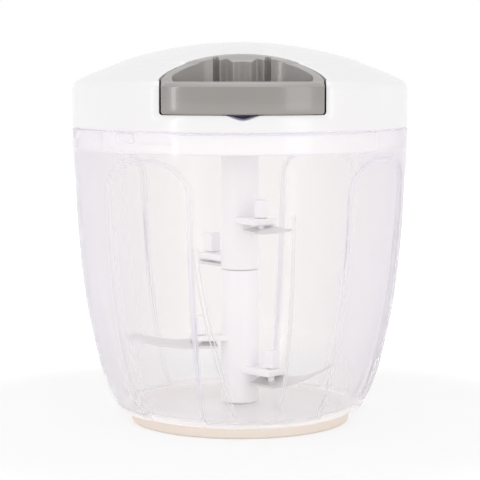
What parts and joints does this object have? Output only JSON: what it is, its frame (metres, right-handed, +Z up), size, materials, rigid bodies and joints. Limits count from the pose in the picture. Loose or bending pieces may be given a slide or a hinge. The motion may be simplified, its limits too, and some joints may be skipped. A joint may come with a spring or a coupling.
{
  "type": "pull-cord food chopper",
  "caption": "Hand food chopper: clear fluted bowl, blades on a centre shaft, and a white lid with a grey handle pulled on a sprung cord.",
  "frame": {"origin": "centre of the underside of the base ring, on the surface that the chopper stands on", "axes": "+Z up along the blade shaft, -Y towards the pull handle, +X to the right as seen from the handle side"},
  "size_m": [0.1308, 0.1308, 0.1485],
  "materials": {
    "clear_plastic": "clear moulded plastic, polished",
    "lid_plastic": "white moulded plastic, satin gloss",
    "white_plastic": "white moulded plastic",
    "grey_plastic": "warm grey moulded plastic, satin",
    "cream_rubber": "soft cream anti-slip rubber",
    "seal_rubber": "translucent white silicone",
    "blade_steel": "stamped stainless steel",
    "steel": "plain bright steel",
    "cord_fibre": "braided nylon cord"
  },
  "bodies": {
    "bowl": {"bowl": "clear_plastic", "base_ring": "cream_rubber", "pivot_pin": "steel"},
    "blades": {"lower_shaft": "white_plastic", "upper_shaft": "white_plastic", "blade_1": "blade_steel", "blade_2": "blade_steel", "blade_3": "blade_steel", "blade_4": "blade_steel", "blade_cap_1": "white_plastic", "blade_cap_2": "white_plastic", "blade_cap_3": "white_plastic", "blade_cap_4": "white_plastic"},
    "seal": {"lid_seal": "seal_rubber"},
    "lid": {"lid_shell": "lid_plastic", "lid_base": "lid_plastic", "lid_screw_1": "steel", "lid_screw_2": "steel", "lid_screw_3": "steel", "lid_screw_4": "steel", "cord_eyelet": "steel", "cord_lead": "cord_fibre", "reel_axle": "steel", "mainspring": "steel"},
    "reel": {"cord_reel": "white_plastic", "spring_cover": "white_plastic", "cord_winding": "cord_fibre"},
    "pawl_a": {"pawl_1": "grey_plastic"},
    "pawl_b": {"pawl_2": "grey_plastic"},
    "driver": {"drive_socket": "grey_plastic"},
    "handle": {"handle": "grey_plastic", "cord_knot": "cord_fibre", "pull_cord": "cord_fibre"}
  },
  "joints": [
    {"name": "lid_lift", "type": "slide", "parent": "bowl", "child": "seal", "axis": [0, 0, 1], "range_m": [0, 0.12]},
    {"name": "lid_twist", "type": "hinge", "parent": "seal", "child": "lid", "pos_m": [0, 0, 0.11585], "axis": [0, 0, 1], "range_deg": [-15, 0]},
    {"name": "handle_pull", "type": "slide", "parent": "lid", "child": "handle", "axis": [0, -1, 0], "range_m": [0, 0.42], "stiffness_N_per_m": 20, "springref_m": -0.2, "deforming": ["pull_cord"]},
    {"name": "reel_spin", "type": "hinge", "parent": "lid", "child": "reel", "pos_m": [0, 0, 0.127], "axis": [0, 0, 1], "range_deg": [-1300, 0]},
    {"name": "drive_spin", "type": "hinge", "parent": "seal", "child": "driver", "pos_m": [0, 0, 0.112], "axis": [0, 0, 1], "range_deg": [-1300, 0]},
    {"name": "blade_spin", "type": "hinge", "parent": "bowl", "child": "blades", "pos_m": [0, 0, 0.05], "axis": [0, 0, 1], "range_deg": [-1300, 0]},
    {"name": "pawl_a_swing", "type": "hinge", "parent": "reel", "child": "pawl_a", "pos_m": [0.009, 0, 0.1175], "axis": [0, 0, 1], "range_deg": [0, 32]},
    {"name": "pawl_b_swing", "type": "hinge", "parent": "reel", "child": "pawl_b", "pos_m": [-0.009, 0, 0.1175], "axis": [0, 0, 1], "range_deg": [0, 32]}
  ],
  "couplings": [
    {"joint": "reel_spin", "follows": "handle_pull", "rad_per_m": -53.763},
    {"joint": "drive_spin", "follows": "handle_pull", "rad_per_m": -53.763},
    {"joint": "blade_spin", "follows": "handle_pull", "rad_per_m": -53.763}
  ]
}
